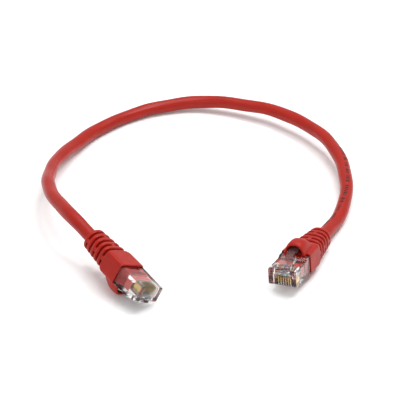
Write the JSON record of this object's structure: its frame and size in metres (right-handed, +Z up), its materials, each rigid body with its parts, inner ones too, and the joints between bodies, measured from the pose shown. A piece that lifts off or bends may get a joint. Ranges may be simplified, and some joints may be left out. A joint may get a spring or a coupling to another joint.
{
  "type": "ethernet patch cable",
  "caption": "Short round twisted-pair patch cable in a horseshoe, with a clear modular plug and a ribbed snagless boot on each end.",
  "frame": {"origin": "middle of the two plugs' box, on the surface that the cable lies on", "axes": "+X from the plug with its latch down to the plug with its latch up, +Y from the plugs towards the cable's bend, +Z up"},
  "size_m": [0.1308, 0.1634, 0.0187],
  "materials": {
    "clear_plastic": "clear polycarbonate, polished",
    "load_bar_plastic": "cream moulded plastic",
    "inner_pvc": "red PVC, moulded",
    "boot_pvc": "soft red PVC, satin",
    "jacket_pvc": "red PVC, fine satin grain",
    "gold_contact": "gold-plated, polished",
    "wire_white_orange": "polyethylene",
    "wire_orange": "polyethylene",
    "wire_white_green": "polyethylene",
    "wire_blue": "polyethylene",
    "wire_white_blue": "polyethylene",
    "wire_green": "polyethylene",
    "wire_white_brown": "polyethylene",
    "wire_brown": "polyethylene",
    "rip_cord": "twisted white yarn"
  },
  "bodies": {
    "cable": {"housing_a": "clear_plastic", "load_bar_a": "load_bar_plastic", "crimp_bar_a": "clear_plastic", "inner_mould_a": "inner_pvc", "boot_a": "boot_pvc", "housing_b": "clear_plastic", "load_bar_b": "load_bar_plastic", "crimp_bar_b": "clear_plastic", "inner_mould_b": "inner_pvc", "boot_b": "boot_pvc", "contact_a_1": "gold_contact", "contact_a_2": "gold_contact", "contact_a_3": "gold_contact", "contact_a_4": "gold_contact", "contact_a_5": "gold_contact", "contact_a_6": "gold_contact", "contact_a_7": "gold_contact", "contact_a_8": "gold_contact", "contact_b_1": "gold_contact", "contact_b_2": "gold_contact", "contact_b_3": "gold_contact", "contact_b_4": "gold_contact", "contact_b_5": "gold_contact", "contact_b_6": "gold_contact", "contact_b_7": "gold_contact", "contact_b_8": "gold_contact", "wire_1": "wire_white_orange", "wire_2": "wire_orange", "wire_3": "wire_white_green", "wire_4": "wire_blue", "wire_5": "wire_white_blue", "wire_6": "wire_green", "wire_7": "wire_white_brown", "wire_8": "wire_brown", "rip_cord": "rip_cord", "jacket": "jacket_pvc"},
    "latch_a": {"latch_a": "clear_plastic"},
    "hood_a": {"hood_a": "boot_pvc"},
    "latch_b": {"latch_b": "clear_plastic"},
    "hood_b": {"hood_b": "boot_pvc"}
  },
  "joints": [
    {"name": "latch_press_a", "type": "hinge", "parent": "cable", "child": "latch_a", "pos_m": [-0.02475, -0.02012, 0.00503], "axis": [0.6646, 0.5963, -0.4502], "range_deg": [0, 9], "stiffness_Nm_per_rad": 0.005},
    {"name": "hood_press_a", "type": "hinge", "parent": "cable", "child": "hood_a", "pos_m": [-0.03824, -0.0049, 0.00526], "axis": [-0.6646, -0.5963, 0.4502], "range_deg": [0, 16.2]},
    {"name": "latch_press_b", "type": "hinge", "parent": "cable", "child": "latch_b", "pos_m": [0.02836, -0.00926, 0.0099], "axis": [-0.8887, 0.4382, -0.1351], "range_deg": [0, 9], "stiffness_Nm_per_rad": 0.005},
    {"name": "hood_press_b", "type": "hinge", "parent": "cable", "child": "hood_b", "pos_m": [0.03711, 0.00902, 0.01163], "axis": [0.8887, -0.4382, 0.1351], "range_deg": [0, 16.2]}
  ],
  "couplings": [
    {"joint": "hood_press_a", "follows": "latch_press_a", "ratio": 1.8},
    {"joint": "hood_press_b", "follows": "latch_press_b", "ratio": 1.8}
  ]
}
